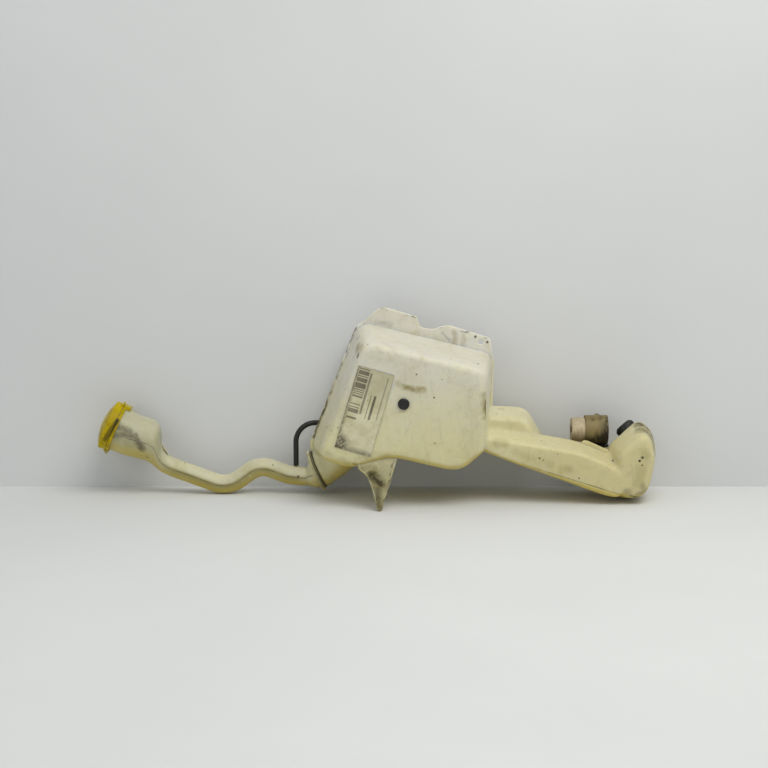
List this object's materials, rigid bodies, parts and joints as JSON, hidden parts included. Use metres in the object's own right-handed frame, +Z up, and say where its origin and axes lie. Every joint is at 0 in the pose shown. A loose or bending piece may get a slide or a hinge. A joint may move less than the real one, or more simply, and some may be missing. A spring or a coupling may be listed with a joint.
{
  "type": "washer fluid reservoir",
  "caption": "Blow-moulded washer fluid reservoir: slanted chamber, sump arm, curved filler pipe with hinged cap, breather hose and electric pump.",
  "frame": {"origin": "middle of the bounding box, on the floor it stands on", "axes": "+X along the object from the filler cap to the sump, +Y away from the front face, +Z up"},
  "size_m": [0.6543, 0.1265, 0.2213],
  "materials": {
    "tank_plastic": "translucent aged polyethylene, satin",
    "black_rubber": "matt rubber",
    "cap_plastic": "glossy bright moulding",
    "steel": "plain drawn steel",
    "label_film": "dull printed film",
    "pump_plastic": "satin moulding with road dirt",
    "pump_cap_plastic": "satin moulding",
    "contact_brass": "plain stamped strip",
    "bell_plastic": "satin moulding",
    "magnet_ferrite": "dull sintered",
    "brush_carbon": "dull pressed carbon",
    "bush_bronze": "sintered bronze",
    "core_steel": "stacked laminations",
    "winding_copper": "enamelled copper",
    "impeller_plastic": "satin moulding"
  },
  "bodies": {
    "reservoir": {"tank_front": "tank_plastic", "tank_back": "tank_plastic", "mount_ear": "tank_plastic", "arm_front": "tank_plastic", "arm_back": "tank_plastic", "filler_neck": "tank_plastic", "neck_seal": "black_rubber", "cap_collar": "cap_plastic", "hinge_pin": "steel", "breather_hose": "black_rubber", "front_plug": "black_rubber", "sump_plug": "black_rubber", "label": "label_film", "pump_grommet": "black_rubber", "pump_housing": "pump_plastic", "pump_end_cap": "pump_cap_plastic", "suction_plate": "pump_plastic", "pump_cover": "pump_plastic", "pump_terminals": "contact_brass", "motor_can": "steel", "end_bell": "bell_plastic", "magnets": "magnet_ferrite", "brushes": "brush_carbon", "front_bush": "bush_bronze", "rear_bush": "bush_bronze", "shaft_seal": "black_rubber"},
    "lid": {"cap_lid": "cap_plastic", "cap_gasket": "black_rubber"},
    "rotor": {"motor_shaft": "steel", "armature_core": "core_steel", "winding": "winding_copper", "commutator": "winding_copper", "impeller": "impeller_plastic"}
  },
  "joints": [
    {"name": "lid_hinge", "type": "hinge", "parent": "reservoir", "child": "lid", "pos_m": [-0.31677, 0.032, 0.05223], "axis": [0, -1, 0], "range_deg": [0, 120]},
    {"name": "rotor_spin", "type": "hinge", "parent": "reservoir", "child": "rotor", "pos_m": [0.2305, 0.032, 0.077], "axis": [1, 0, 0], "continuous": true}
  ]
}
